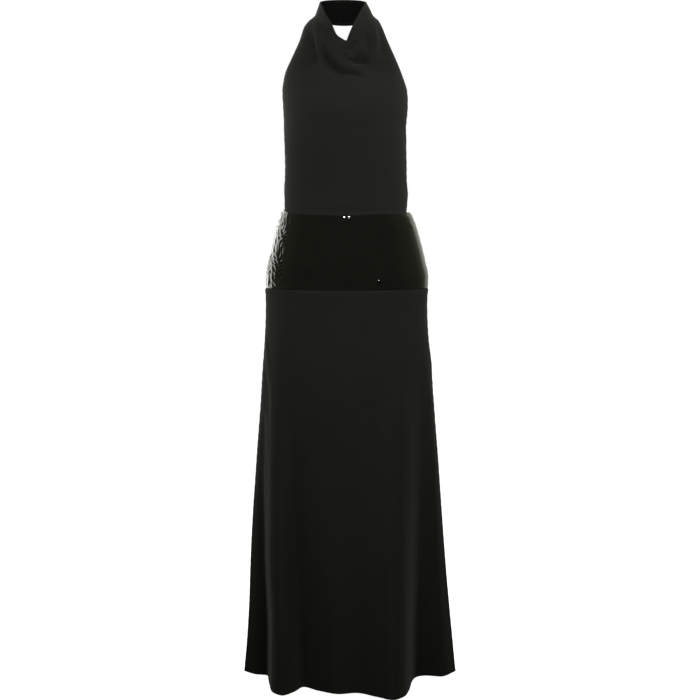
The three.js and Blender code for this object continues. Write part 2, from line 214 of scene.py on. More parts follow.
# Soft creases of the front bodice beside its side seams and over the yoke: place along the cloth from
# the middle of the panel, and height
FRONT_CREASES = (
    (((150, -236), (172, -262), (190, -300)), 7, 1.3, 1),
    (((158, -262), (178, -300)), 6, -1.2, 1),
    (((146, -330), (168, -352), (192, -372)), 7, -1.3, 1),
    (((152, -372), (176, -392), (196, -424)), 6, 1.2, 1),
    (((-196, -246), (-176, -274), (-160, -316)), 8, 1, 1),
    (((-198, -300), (-180, -346)), 7, -0.9, 1),
    (((-194, -372), (-172, -402), (-160, -428)), 7, 1, 1),
    (((-60, -428), (0, -424), (70, -430)), 9, 0.9, 1),
    (((90, -419), (130, -424), (168, -418)), 7, -0.8, 1),
)
BACK_CREASES = (
    (((-150, -250), (-120, -300), (-96, -372)), 12, 1.8, 1),
    (((-128, -246), (-98, -300), (-70, -350)), 9, -1.6, 1),
    (((146, -242), (118, -296), (102, -350)), 11, 1.7, 1),
    (((120, -262), (88, -330)), 9, -1.4, 1),
    (((-60, -262), (-34, -330), (-30, -400)), 10, 1.3, 1),
    (((30, -258), (42, -330), (34, -412)), 11, -1.2, 1),
    (((-158, -400), (-80, -412), (-10, -404)), 8, -1.3, 1),
    (((20, -396), (90, -408), (160, -398)), 9, 1.3, 1),
    (((-120, -428), (-40, -426)), 7, 1, 1),
)
SKIRT_FRONT_CREASES = (
    (((-232, -700), (-206, -742), (-190, -806)), 10, 1.6, 1),
    (((-228, -776), (-204, -830), (-196, -890)), 9, -1.5, 1),
    (((-238, -846), (-214, -906), (-206, -978)), 11, 1.3, 1),
    (((214, -802), (238, -824), (254, -852)), 7, -1.8, 1),
    (((206, -716), (232, -752), (246, -800)), 10, 1.5, 1),
    (((222, -640), (210, -690)), 9, -1, 1),
    (((-40, -640), (-34, -780), (-52, -960)), 22, 1.2, 1),
    (((28, -650), (36, -800), (22, -1010)), 24, -1.1, 1),
    (((110, -660), (122, -820), (136, -1000)), 20, 1.2, 1),
    (((-118, -650), (-128, -800), (-150, -940)), 20, -1, 1),
    (((-250, -1120), (-236, -1220), (-240, -1330)), 9, 1.2, 1),
    (((262, -1060), (256, -1180), (266, -1300)), 9, -1.2, 1),
)
SKIRT_BACK_CREASES = (
    (((-150, -640), (-120, -720), (-96, -860)), 16, 2.2, 1),
    (((-70, -646), (-52, -760), (-60, -900)), 14, -1.8, 1),
    (((10, -640), (6, -780), (20, -960)), 20, 1.8, 1),
    (((92, -650), (74, -760), (84, -900)), 15, -1.8, 1),
    (((168, -644), (138, -730), (124, -850)), 15, 2, 1),
    (((-224, -690), (-200, -760), (-196, -840)), 10, -1.6, 1),
    (((226, -700), (206, -764), (204, -850)), 10, 1.5, 1),
    (((-10, -1080), (-30, -1200), (-24, -1330)), 16, -1.6, 1),
    (((190, -1020), (200, -1160), (214, -1300)), 12, 1.5, 1),
)
# The yoke's creases, and how its top edge wanders
YOKE_CREASES = (
    (((-176, -470), (-150, -486)), 5, -0.8, 1),
    (((150, -462), (172, -474)), 6, 0.7, 1),
)
YOKE_BACK_CREASES = (
    (((-120, -470), (-60, -482), (-10, -474)), 8, 0.9, 1),
    (((30, -520), (90, -508), (140, -520)), 9, -0.8, 1),
    (((-150, -560), (-90, -572)), 7, 0.8, 1),
)
YOKE_EDGE = ((-1, 7), (-0.84, 4), (-0.57, 0), (-0.02, 1), (0.3, 2), (0.62, -2), (0.8, -2), (1, 0))
# Small puckers of the yoke that catch the light: place along the cloth, height, half width and rise
YOKE_PUCKERS = ((-5.2, -452.6, 2.2, 1.2), (5.8, -454.2, 2.8, 2.3), (70, -588, 3.2, 2.4))

# The yoke's crinkle: where it begins and is full on the way from the middle to a side seam, its share
# at the right of the front, how far from the edges and the seams it fades in, the directions of its three
# waves, their length over a full turn, what a length round the body counts for, and how its depth varies
CRINKLE_LEFT = (0.5, 0.64)
CRINKLE_RIGHT = (0.7, 0.95)
CRINKLE_RIGHT_SHARE = 0.09
CRINKLE_BACK = (0.45, 0.75)
CRINKLE_FROM_EDGE = (1, 7)
CRINKLE_FROM_SEAM = (0, 3)
CRINKLE_DIRECTIONS = (0.2, 1.25, 2.3)
CRINKLE_WAVE = 3.7
CRINKLE_STRETCH = 0.6
CRINKLE_UNEVEN = 0.35

# Stitches along the nape band's turned edges: how many rows of its grid they are in from an edge, their
# pitch, length and thickness of thread, the stations along a stitch and its girth at each, and how deep
# and how wide the cloth sinks under them
STITCH_ROW = 5
STITCH_PITCH = 2.7
STITCH_LENGTH = 2.1
STITCH_THREAD = 0.34
STITCH_STATIONS = (-0.5, -0.25, 0.25, 0.5)
STITCH_GIRTHS = (0.3, 1, 1, 0.3)
STITCH_SINK = 0.22
STITCH_SPREAD = 1.1

# Folds: pieces of a path, how many half widths a fold reaches, the share of its path over which each end
# dies away and what is left there, and the share of a panel along its sides that the cowl leaves flat
FOLD_STEPS = 24
FOLD_REACH = 3
FOLD_END = 0.28
FOLD_END_HEIGHT = 0.08
FOLD_HEM = 0.08

# Edges: rings of facets round one, the share that a turned edge adds to the wall and over what length it
# begins, how far the neck's edge rolls out, how far in and how wide, and the angle of a sharp one
RIM_RINGS = 3
TURNED_SHARE = 0.6
TURNED_STEP = 0.5
NECK_ROLL = 1.3
NECK_ROLL_IN = 2
NECK_ROLL_WIDTH = 5
SHARP_EDGE = 50

# Side seams: depth and half width of the groove, and the height, distance, half width and wave (its
# length over a full turn) of the puckers beside it
GROOVE_DEPTH = 0.5
GROOVE_WIDTH = 2.4
PUCKER_HEIGHT = 0.32
PUCKER_AWAY = 5
PUCKER_WIDTH = 6
PUCKER_WAVE = 3.1

# How unevenly each cloth hangs; the nape band's waves are as many times shorter, are calm near its two
# ends, and its stitches leave a few facets free there
UNEVEN = {"front_bodice": 0.5, "neck_band": 0.4, "back_bodice": 0.6, "yoke": 0.3, "skirt": 0.8}
NAPE_WAVES = 2
NAPE_CALM = 8
NAPE_FREE = 2

# Rows of places up each panel, facets round the nape band, how far the columns of a panel are gathered
# towards its middle (towards its sides, below zero), and the rows evened out at the underarm
TORSO_GRID = 70
COWL_GRID = 146
NAPE_GRID = 61
NAPE_COLUMNS = 150
BACK_GRID = 118
YOKE_FRONT_GRID = 160
YOKE_BACK_GRID = 110
SKIRT_GRID = 200
TUCK_GRID = 60
BODICE_GATHER = 0.3
YOKE_GATHER = -0.2
UNDERARM_SPREAD = 14
UNDERARM_PASSES = 12

# Painted shade on the crepe: how much darker its colour is painted where the cowl hangs, the heights between
# which that begins above and below, and how much darker it is painted for each millimetre of a hollow, down
# to a depth
COWL_PAINTED_SHADE = 0.28
PAINTED_SHADE_TOP = (-30, -62)
PAINTED_SHADE_BOTTOM = (-156, -118)
HOLLOW_PAINTED_SHADE = 0.032
PAINTED_SHADE_DEPTH = 12

# Stage, in metres: lamps that light the cloth and lamps that only the gloss mirrors, each with its name,
# place, width and height, and setting of power; what each kind faces; the floor's half width, the flags'
# front and back edges, and the width of the camera's sensor in millimetres
CLOTH_LAMPS = (
    ("key", (0.12, -1.5, 0.25), (1.4, 1.0), "key_power"),
    ("front_fill", (0.0, -2.4, -0.9), (4.4, 1.8), "front_power"),
    ("rear_key", (-0.45, 1.9, 0.3), (1.4, 1.0), "rear_power"),
    ("left_fill", (-0.64, -0.15, -0.2), (0.9, 0.9), "fill_power"),
    ("right_fill", (0.64, -0.15, -0.2), (0.9, 0.9), "fill_power"),
)
GLOSS_LAMPS = (
    ("left_panel", (-1.2, 1.6, -0.4), (2.2, 1.7), "left_power"),
    ("back_panel", (0.0, 2.4, -0.45), (6.0, 3.2), "back_power"),
    ("glint", (0.15, -1.5, 0.85), (0.45, 0.45), "glint_power"),
    ("streak", (0.81, -0.72, 0.83), (0.3, 0.3), "streak_power"),
)
CLOTH_AIM = (0.0, 0.0, -0.3)
GLOSS_AIM = (0.0, 0.0, -0.45)
FLOOR_REACH = 30.0
FLAG_FRONT = -0.45
FLAG_BACK = 1.2
SENSOR_WIDTH = 36

# The studio's glow by degrees round from the front: at the left, in front, where a setting gives its
# level, and at the right; and by height, from straight down (0) to straight up (1)
GLOW_LEFT = ((-180, 1), (-135, 1), (-105, 0.42), (-70, 0.32))
GLOW_FRONT = (-58, 58)
GLOW_RIGHT = ((74, 0.32), (105, 0.4), (126, 0.7), (136, 1), (180, 1))
GLOW_RISE = ((0.0, 0.08), (0.4, 0.12), (0.48, 0.8), (0.55, 1.0), (0.7, 0.9), (0.88, 0.8), (1.0, 0.5))


def length_setting(name, description, default, low, high):
    """A length, in metres."""
    return FloatProperty(name=name, description=description, default=default, min=low, max=high,
                         unit="LENGTH")


def columns_setting(name, description, default):
    """A number of facets across a panel."""
    return IntProperty(name=name, description=description, default=default, min=20, max=400)


def share_setting(name, description, default):
    """A share of one."""
    return FloatProperty(name=name, description=description, default=default, min=0, max=1,
                         subtype="FACTOR")


def colour_setting(name, description, default):
    """A colour, as linear red, green and blue."""
    return FloatVectorProperty(name=name, description=description, default=default, min=0, max=1,
                               subtype="COLOR")


def power_setting(name, description, default):
    """The power of a lamp, in watts."""
    return FloatProperty(name=name, description=description, default=default, min=0, max=5000,
                         unit="POWER")


class DressSizes(PropertyGroup):
    """Sizes of the cloth that a user would change."""

    crepe_wall: length_setting("Crepe wall", "Thickness of the crepe, with its facing",
                               0.0015, 0.001, 0.003)
    yoke_wall: length_setting("Yoke wall", "Thickness of the coated hip yoke", 0.0012, 0.001, 0.003)
    hem_depth: length_setting("Hem depth", "How deep the skirt's hem is turned up", 0.022, 0.005, 0.05)
    edge_depth: length_setting("Edge depth", "How deep the neck and armhole edges are turned in",
                               0.006, 0.002, 0.02)
    crinkle: length_setting("Crinkle", "Height of the fine crinkle at the yoke's sides", 0.0008, 0, 0.002)
    bodice_columns: columns_setting("Bodice columns", "Facets across each bodice panel", 210)
    yoke_columns: columns_setting("Yoke columns", "Facets across each yoke panel", 290)
    skirt_columns: columns_setting("Skirt columns", "Facets across each skirt panel", 190)


class DressColours(PropertyGroup):
    """Colours and finish of the two cloths."""

    crepe: colour_setting("Crepe", "Colour of the crepe", (0.0126, 0.0127, 0.0110))
    # Painted shade: the wrong side is coloured darker than the crepe, for the shaded inside of the dress
    shaded_crepe_inside: colour_setting("Crepe, wrong side", "Colour of the crepe's satin back",
                                 (0.0073, 0.0073, 0.0071))
    gloss: colour_setting("Coated cloth", "Colour of the coated cloth", (0.0042, 0.0042, 0.0032))
    gloss_roughness: share_setting("Coat roughness", "Roughness of the coat of the yoke", 0.07)


class StageSettings(PropertyGroup):
    """Camera, light and floor."""

    distance: length_setting("Camera distance", "From the camera to the middle of the dress", 4.0, 1, 20)
    eye_height: length_setting("Camera height", "Height of the camera from the neck", -0.413, -3, 3)
    aim_height: length_setting("Aim height", "Height of the place that the camera looks at",
                               -0.7444, -3, 3)
    across: length_setting("Camera across", "Place of the camera across the front", 0.0144, -2, 2)
    view_height: length_setting("View height", "Height of the view at the dress", 1.5463, 0.1, 10)
    floor_drop: length_setting("Floor drop", "How far the floor is below the hem", 0.012, 0, 0.5)
    flag_distance: length_setting("Flag distance", "From the middle of the dress to each black flag",
                                  0.6, 0.3, 5)
    flag_top: length_setting("Flag top", "Height of the flags' upper edge", -0.78, -3, 3)
    key_power: power_setting("Key light", "Power of the light above the camera", 16)
    fill_power: power_setting("Side fill", "Power of each light beside the dress", 3.3)
    front_power: power_setting("Front fill", "Power of the low light in front", 8)
    front_colour: colour_setting("Front fill colour", "Colour of the low light in front", (1, 1, 0.6))
    rear_power: power_setting("Rear light", "Power of the light above and behind", 13)
    left_power: power_setting("Left panel", "Power of the panel at the left, for gloss", 21)
    back_power: power_setting("Back panel", "Power of the panel behind the dress, for gloss", 21)
    glint_power: power_setting("Glint", "Power of the small high lamp in front, for gloss", 56)
    streak_power: power_setting("Streak", "Power of the small lamp high at the right, for gloss", 0.3)
    glow: FloatProperty(name="Glow", description="Brightness of the studio behind the dress",
                        default=0.5, min=0, max=10)
    front_glow: share_setting("Front glow", "Share of the glow that is behind the camera", 0.22)
    glow_colour: colour_setting("Glow colour", "Colour of the studio's own light", (1, 1, 0.76))


def smooth(keys, values):
    """Curve through a table's points that never swings past them: a cubic for each step, whose slope
    at a point is the harmonic mean of the rates on its two sides, or level where they differ in sign."""
    order = np.argsort(keys)
    keys = np.asarray(keys, float)[order]
    values = np.asarray(values, float)[order]
    rates = np.diff(values) / np.diff(keys)
    product = rates[:-1] * rates[1:]
    total = rates[:-1] + rates[1:]
    middle = np.where(product > 0, 2 * product / np.where(total == 0, 1, total), 0)
    slopes = np.concatenate([rates[:1], middle, rates[-1:]])

    def at(key):
        i = np.clip(np.searchsorted(keys, key, side="right") - 1, 0, len(keys) - 2)
        span = keys[i + 1] - keys[i]
        t = np.clip((key - keys[i]) / span, 0, 1)
        rest = 1 - t
        return ((1 + 2 * t) * rest ** 2 * values[i] + t * rest ** 2 * span * slopes[i]
                + t ** 2 * (3 - 2 * t) * values[i + 1] - t ** 2 * rest * span * slopes[i + 1])

    return at


def curves(columns, rows):
    """Every column of a table as a smooth curve over its first column, by name."""
    values = np.array(rows, float).T
    return {name: smooth(values[0], column) for name, column in zip(columns[1:], values[1:])}


def smoothstep(value, low, high):
    """0 below low, 1 above high, and between them 3 t squared less 2 t cubed, by the share t of the way."""
    t = np.clip((value - low) / (high - low), 0, 1)
    return t * t * (3 - 2 * t)


def lerp(start, end, share):
    """From start to end by a share."""
    return start + (end - start) * share


def bell(distance, width):
    """Bell curve: e to the power of minus the square of distance over width."""
    return np.exp(-(distance / width) ** 2)


BODICE = curves(SECTION, BODICE_ROWS)
YOKE = curves(SECTION, YOKE_ROWS)
SKIRT = curves(SECTION, SKIRT_ROWS)
HALTER_AT = curves(HALTER, HALTER_ROWS)
NECKLINE_AT = smooth(*zip(*NECKLINE))
YOKE_EDGE_AT = smooth(*zip(*YOKE_EDGE))


def lattice(side, columns, rows, closer=0.0):
    """Places round a panel, from side seam to side seam so that the outside faces out, and its rows.
    closer gathers the columns towards the middle: a place p becomes p - closer (p - p cubed)."""
    even = -side * np.linspace(-1, 1, columns + 1)
    return np.meshgrid(even * (1 - closer + closer * even ** 2), rows)


def section(body, side, around, height):
    """Level section of the body: a superellipse. With the angle a quarter turn times around, across is
    the half width times sin^(2/full), and out is the depth times cos^(2/full), from the side seam."""
    angle = around * math.pi / 2
    power = 2 / body["full"](height)
    depth = body["front" if side == FRONT else "back"](height)
    across = np.sign(angle) * np.abs(np.sin(angle)) ** power
    out = np.clip(np.cos(angle), 0, None) ** power
    x = body["shift"](height) + body["half"](height) * across
    y = body["seam"](height) + side * (depth * out + SEAM_GAP / 2)
    return np.stack([x, y, height], -1)


def yoke_surface(side, around, height):
    """Section of the hips. In front it is lowered by the dip times the share of the way up, squared,
    times cos squared. Its top edge wanders a little, by the share of the way up to the sixth power."""
    fade = (height - YOKE_BOTTOM) / (YOKE_TOP - YOKE_BOTTOM)
    if side == FRONT:
        height = height - YOKE_DIP * fade ** 2 * np.cos(around * math.pi / 2) ** 2
    return section(YOKE, side, around, height + YOKE_EDGE_AT(around) * fade ** 6)


def halter_surface(around, level):
    """Row of the front above the underarm: across is a half width times sin, out goes from the edge's
    to the middle's by cos, and the height rises to the armhole as |sin|^2.2, which turns row by row
    into the neckline's own curve."""
    angle = around * math.pi / 2
    across = np.sin(angle)
    left, right = HALTER_AT["left"](level), HALTER_AT["right"](level)
    swag = np.abs(across) ** SWAG_CURVE
    rise = lerp(swag, NECKLINE_AT(across), smoothstep(level, 0, NECK_LEVEL))
    out = lerp(HALTER_AT["edge_out"](level), HALTER_AT["mid_out"](level), np.clip(np.cos(angle), 0, None))
    return np.stack([
        (left + right) / 2 + (right - left) / 2 * across,
        -out - SEAM_GAP / 2,
        lerp(HALTER_AT["mid"](level), HALTER_AT["edge"](level), rise),
    ], -1)


def skirt_surface(side, around, height, flutes):
    """A-line section, drawn towards the hem's fluted line by the share of the way down from where each
    flute starts, to the power of the flutes' softness."""
    points = section(SKIRT, side, around, height)
    at_hem = section(SKIRT, side, around, np.full_like(height, HEM))
    starts = flutes["starts"](around)
    share = np.clip((starts - height) / (starts - HEM), 0, None) ** FLUTE_SOFTNESS
    middle = SKIRT["shift"](np.full_like(height, HEM))
    points[..., 0] += share * (middle + flutes["across"](around) - at_hem[..., 0])
    points[..., 1] += share * side * (flutes["out"](around) + SEAM_GAP / 2)
    points[..., 1] -= share * at_hem[..., 1]
    return points


def normals(points, seam_rows=None):
    """Outward normals of a grid, along times up from the neighbours. On the rows that meet a side
    seam the end ones stay in the seam's own plane."""
    along = np.gradient(points, axis=1)
    up = np.gradient(points, axis=0)
    normal = np.cross(along, up)
    if seam_rows is not None:
        normal[np.ix_(seam_rows, (0, -1), (1,))] = 0
    return normal / np.linalg.norm(normal, axis=-1, keepdims=True)


def cloth_places(points):
    """Place of each point on the flat cloth: along its row from the panel's middle column, and up the
    middle column from the bottom row."""
    steps = np.linalg.norm(np.diff(points, axis=1), axis=-1)
    along = np.pad(np.cumsum(steps, axis=1), ((0, 0), (1, 0)))
    middle = points.shape[1] // 2
    along -= along[:, middle:middle + 1]
    if points[0, 0, 0] > points[0, -1, 0]:
        along = -along
    rises = np.linalg.norm(np.diff(points[:, middle], axis=0), axis=-1)
    up = np.concatenate([[0], np.cumsum(rises)])
    return along, np.broadcast_to(up[:, None], along.shape)


def edge_distances(points):
    """How far each point is along the cloth from the bottom, the top and the nearer side edge."""
    rises = np.linalg.norm(np.diff(points, axis=0), axis=-1)
    up = np.pad(np.cumsum(rises, axis=0), ((1, 0), (0, 0)))
    steps = np.linalg.norm(np.diff(points, axis=1), axis=-1)
    along = np.pad(np.cumsum(steps, axis=1), ((0, 0), (1, 0)))
    return up, up[-1:] - up, np.minimum(along, along[:, -1:] - along)


def spline(path, count):
    """Points on the Catmull-Rom curve through a path, whose ends are doubled."""
    knots = np.array(path, float)
    knots = np.concatenate([knots[:1], knots, knots[-1:]])
    place = np.linspace(0, len(path) - 1, count + 1)
    i = np.clip(place.astype(int), 0, len(path) - 2)
    t = (place - i)[:, None]
    before, start, end, after = knots[i], knots[i + 1], knots[i + 2], knots[i + 3]
    slope_in, slope_out = (end - before) / 2, (after - start) / 2
    return (start + slope_in * t + (3 * (end - start) - 2 * slope_in - slope_out) * t ** 2
            + (2 * (start - end) + slope_in + slope_out) * t ** 3)


def fold_push(across, height, folds):
    """How far the cloth is pushed out by a list of folds: each one's rise times a bell curve of the
    distance to its path, down to a share of its height towards the path's two ends."""
    places = np.stack([across, height], -1)
    push = np.zeros(across.shape)
    for path, width, rise, steep in folds:
        line = spline(path, FOLD_STEPS)
        reach = FOLD_REACH * width
        near = ((places > line.min(0) - reach) & (places < line.max(0) + reach)).all(-1)
        here = places[near][:, None]
        way = np.diff(line, axis=0)
        share = np.clip(((here - line[:-1]) * way).sum(-1) / (way ** 2).sum(-1), 0, 1)
        away = here - (line[:-1] + way * share[..., None])
        distance = np.hypot(away[..., 0], away[..., 1])
        nearest = distance.argmin(1)
        pick = np.arange(len(nearest)), nearest
        along = (nearest + share[pick]) / FOLD_STEPS
        right_side = way[nearest, 0] * away[pick][:, 1] < way[nearest, 1] * away[pick][:, 0]
        reach_here = np.where(right_side, width * steep, width)
        inside = smoothstep(np.minimum(along, 1 - along), 0, FOLD_END)
        push[near] += rise * lerp(FOLD_END_HEIGHT, 1, inside) * bell(distance[pick], reach_here)
    return push


def unevenness(along, height, size):
    """Very shallow waves, as no cloth hangs perfectly even: half of a wave along whose phase wanders up
    the cloth, times one up it, plus two smaller ones at a slant that cross it."""
    return size * (0.5 * np.sin(along / 23 + 1.3 * np.sin(height / 71)) * np.sin(height / 57 + 0.7)
                   + 0.3 * np.sin(along / 41 - height / 33 + 2.1)
                   + 0.2 * np.sin(along / 13 + height / 90 + 0.4))


def seam_pull(side_distance, height, seam_rows):
    """Groove of a sewn side seam, a bell curve of the distance to it, and the small puckers that its
    thread draws beside it: a bell curve farther in times a wave up the seam, whose phase wanders."""
    groove = -GROOVE_DEPTH * bell(side_distance, GROOVE_WIDTH)
    beside = PUCKER_HEIGHT * bell(side_distance - PUCKER_AWAY, PUCKER_WIDTH)
    puckers = beside * np.sin(height / PUCKER_WAVE + 1.7 * np.sin(height / 19))
    held = np.zeros(height.shape)
    held[seam_rows] = 1
    return held * (groove + puckers)


def settle_rows(points, rows, spread, passes):
    """Points with the rows near a join evened out, so that no crease shows there: each is half itself
    and a quarter of each neighbour, as many times as there are passes."""
    low, high = rows - spread, rows + spread
    out = points.copy()
    for _ in range(passes):
        out[low:high] = (out[low - 1:high - 1] + 2 * out[low:high] + out[low + 1:high + 1]) / 4
    return out


def boundary(rows, columns):
    """Indices of a grid's edge, once round it: bottom row, last column, top row, first column."""
    index = np.arange(rows * columns).reshape(rows, columns)
    return np.concatenate([index[0, :-1], index[:-1, -1], index[-1, :0:-1], index[:0:-1, 0]])


def strip(outer_ring, inner_ring):
    """Quads between two closed rings of points, facing outwards."""
    outer_next, inner_next = np.roll(outer_ring, -1), np.roll(inner_ring, -1)
    return np.stack([inner_ring, inner_next, outer_next, outer_ring], -1)


def cloth_wall(name, outer, out, thickness, rolled, places, materials, tone=None):
    """Closed wall of cloth. Its inside is the outside moved in along the normals by the thickness. Its
    edge is a strip of rings on a half circle between the two, flat where rolled is 0 (a seam) and
    round where it is 1 (a turned edge). materials are the face's and the inside's, and tone is a
    share of the face's colour for each point, which paints shade on it through the tone attribute."""
    rows, columns = outer.shape[:2]
    inner = outer - out * thickness[..., None]
    ring = boundary(rows, columns)
    flat_outer, flat_inner = outer.reshape(-1, 3), inner.reshape(-1, 3)
    edge_out = out.reshape(-1, 3)[ring]
    tangent = np.roll(flat_outer[ring], -1, 0) - np.roll(flat_outer[ring], 1, 0)
    away = np.cross(tangent, edge_out)
    away /= np.maximum(np.linalg.norm(away, axis=-1, keepdims=True), 1e-9)
    radius = thickness.reshape(-1)[ring][:, None] / 2
    middle = (flat_outer[ring] + flat_inner[ring]) / 2
    turn = rolled.reshape(-1)[ring][:, None]
    angles = math.pi * np.arange(1, RIM_RINGS + 1) / (RIM_RINGS + 1)
    rings = [middle + radius * (math.cos(a) * edge_out + turn * math.sin(a) * away) for a in angles]
    layer = rows * columns
    index = np.arange(layer).reshape(rows, columns)
    material, inside_material = materials
    corners = index[:-1, :-1], index[:-1, 1:], index[1:, 1:], index[1:, :-1]
    outside = np.stack([corner.ravel() for corner in corners], -1)
    inside = layer + outside[:, (0, 3, 2, 1)]
    ring_index = [2 * layer + k * len(ring) + np.arange(len(ring)) for k in range(RIM_RINGS)]
    chain = [ring, *ring_index, layer + ring]
    rim = [strip(a, b) for a, b in zip(chain[:-1], chain[1:])]
    points = np.concatenate([flat_outer, flat_inner, *rings])
    flat_places = places.reshape(-1, 2)
    on_cloth = np.concatenate([flat_places, flat_places, *([flat_places[ring]] * RIM_RINGS)])
    piece = mesh_piece(name, points, np.concatenate([outside, inside, *rim]), on_cloth, material)
    piece.data.materials.append(inside_material)
    on_inside = np.zeros(len(piece.data.polygons), np.int32)
    on_inside[len(outside):len(outside) + len(inside)] = 1
    piece.data.polygons.foreach_set("material_index", on_inside)
    # Painted shade: each point of the face keeps a share of the crepe's colour in the tone attribute, 1
    # where nothing is painted
    painted_shades = np.ones(len(points), np.float32)
    if tone is not None:
        painted_shades[:layer] = tone.ravel()
    piece.data.attributes.new("tone", "FLOAT", "POINT").data.foreach_set("value", painted_shades)
    return piece


def mesh_piece(name, points, quads, on_cloth, material):
    """Object of a quad mesh, in metres, with a UV map of its places on the flat cloth, in metres."""
    mesh = bpy.data.meshes.new(name)
    mesh.vertices.add(len(points))
    mesh.vertices.foreach_set("co", (points * MM).astype(np.float32).ravel())
    mesh.loops.add(quads.size)
    mesh.loops.foreach_set("vertex_index", quads.astype(np.int32).ravel())
    mesh.polygons.add(len(quads))
    mesh.polygons.foreach_set("loop_start", np.arange(0, quads.size, 4, dtype=np.int32))
    mesh.update(calc_edges=True)
    mesh.shade_smooth()
    mesh.set_sharp_from_angle(angle=math.radians(SHARP_EDGE))
    cloth = mesh.uv_layers.new(name="cloth")
    cloth.uv.foreach_set("vector", (on_cloth[quads.ravel()] * MM).astype(np.float32).ravel())
    mesh.materials.append(material)
    piece = bpy.data.objects.new(name, mesh)
    bpy.context.scene.collection.objects.link(piece)
    return piece


def declare(piece, node):
    """Ties a panel to the frame: what it rides on, and the node that it stands for, which it hides."""
    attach(piece, "root")
    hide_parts(node)


def turned_edge(distance, depth, wall):
    """Extra thickness of cloth turned in along an edge: a share of the wall, up to the turned depth."""
    return TURNED_SHARE * wall * (1 - smoothstep(distance, depth - TURNED_STEP, depth + TURNED_STEP))


def stitches(line, out):
    """Run of stitches along a line on the cloth, as points, quads and places. Each is a four-sided
    spindle of thread along the line: a ring at each station, narrow at the two ends."""
    steps = np.linalg.norm(np.diff(line, axis=0), axis=-1)
    along = np.concatenate([[0], np.cumsum(steps)])
    middles = np.arange(STITCH_PITCH, along[-1] - STITCH_PITCH, STITCH_PITCH)
    stations = middles[:, None] + STITCH_LENGTH * np.array(STITCH_STATIONS)
    centre = np.stack([np.interp(stations, along, line[:, axis]) for axis in range(3)], -1)
    up = np.stack([np.interp(stations, along, out[:, axis]) for axis in range(3)], -1)
    way = np.gradient(centre, axis=1)
    across = np.cross(up, way / np.linalg.norm(way, axis=-1, keepdims=True))
    turns = math.pi / 2 * np.arange(4)[:, None]
    ring = np.cos(turns) * across[..., None, :] + np.sin(turns) * up[..., None, :]
    girth = STITCH_THREAD * np.array(STITCH_GIRTHS)
    points = centre[..., None, :] + girth[:, None, None] * ring
    index = np.arange(points[..., 0].size).reshape(points.shape[:3])
    after = np.roll(index, -1, 2)
    sides = np.stack([index[:, :-1], after[:, :-1], after[:, 1:], index[:, 1:]], -1).reshape(-1, 4)
    ends = np.concatenate([index[:, 0, ::-1], index[:, -1]])
    places = np.stack(np.broadcast_arrays(stations[..., None], turns[:, 0] * STITCH_THREAD), -1)
    return points.reshape(-1, 3), np.concatenate([sides, ends]), places.reshape(-1, 2)


def joined(runs):
    """Runs of stitches as the points, quads and places of one mesh."""
    points, quads, places = zip(*runs)
    starts = np.cumsum([0, *map(len, points[:-1])])
    shifted = [run + start for run, start in zip(quads, starts)]
    return np.concatenate(points), np.concatenate(shifted), np.concatenate(places)


def stitch_line(distance, depth):
    """Shallow line that a row of stitches sinks into the outside: a bell curve across the line."""
    return -STITCH_SINK * bell(distance - depth, STITCH_SPREAD)


def nodes_of(material):
    """A material's node tree with its shader, cleared of the rest."""
    material.use_nodes = True
    tree = material.node_tree
    tree.nodes.clear()
    output = tree.nodes.new("ShaderNodeOutputMaterial")
    shader = tree.nodes.new("ShaderNodeBsdfPrincipled")
    tree.links.new(shader.outputs["BSDF"], output.inputs["Surface"])
    return tree, shader


def cloth_coordinates(tree):
    """The cloth's own UV map, in metres."""
    node = tree.nodes.new("ShaderNodeUVMap")
    node.uv_map = "cloth"
    return node.outputs["UV"]


def noise(tree, vector, scale, detail=2.0, roughness=0.5):
    """Noise whose grains are about one metre over scale."""
    node = tree.nodes.new("ShaderNodeTexNoise")
    node.inputs["Scale"].default_value = scale
    node.inputs["Detail"].default_value = detail
    node.inputs["Roughness"].default_value = roughness
    tree.links.new(vector, node.inputs["Vector"])
    return node.outputs["Fac"]


def threads(tree, vector, direction, pitch):
    """Bands of yarn across one direction of the cloth, bent a little from straight. The texture turns by
    20 radians in a metre over its scale, so the scale is a full turn over 20 times the pitch."""
    node = tree.nodes.new("ShaderNodeTexWave")
    node.wave_type = "BANDS"
    node.bands_direction = direction
    node.wave_profile = "SIN"
    node.inputs["Scale"].default_value = 2 * math.pi / (20 * pitch)
    node.inputs["Distortion"].default_value = 1.6
    node.inputs["Detail"].default_value = 1.0
    node.inputs["Detail Scale"].default_value = 0.35
    tree.links.new(vector, node.inputs["Vector"])
    return node.outputs["Fac"]


def combine(tree, operation, first, second):
    """Two values put together by a maths node; the second may be a plain number."""
    node = tree.nodes.new("ShaderNodeMath")
    node.operation = operation
    for socket, value in zip(node.inputs, (first, second)):
        if isinstance(value, (int, float)):
            socket.default_value = value
        else:
            tree.links.new(value, socket)
    return node.outputs["Value"]


def ramp(tree, value, stops):
    """Colour or grey level by value, through a list of stops."""
    node = tree.nodes.new("ShaderNodeValToRGB")
    elements = node.color_ramp.elements
    while len(elements) < len(stops):
        elements.new(0.5)
    for element, (place, colour) in zip(elements, stops):
        element.position = place
        element.color = (*colour, 1) if hasattr(colour, "__len__") else (colour, colour, colour, 1)
    tree.links.new(value, node.inputs["Fac"])
    return node.outputs["Color"]


def bump(tree, height, strength, distance, under=None):
    """Relief from a height value, on top of another relief if there is one."""
    node = tree.nodes.new("ShaderNodeBump")
    node.inputs["Strength"].default_value = strength
    node.inputs["Distance"].default_value = distance
    tree.links.new(height, node.inputs["Height"])
    if under is not None:
        tree.links.new(under, node.inputs["Normal"])
    return node.outputs["Normal"]


def shade(colour, factor):
    """A colour made lighter or darker."""
    return tuple(channel * factor for channel in colour)


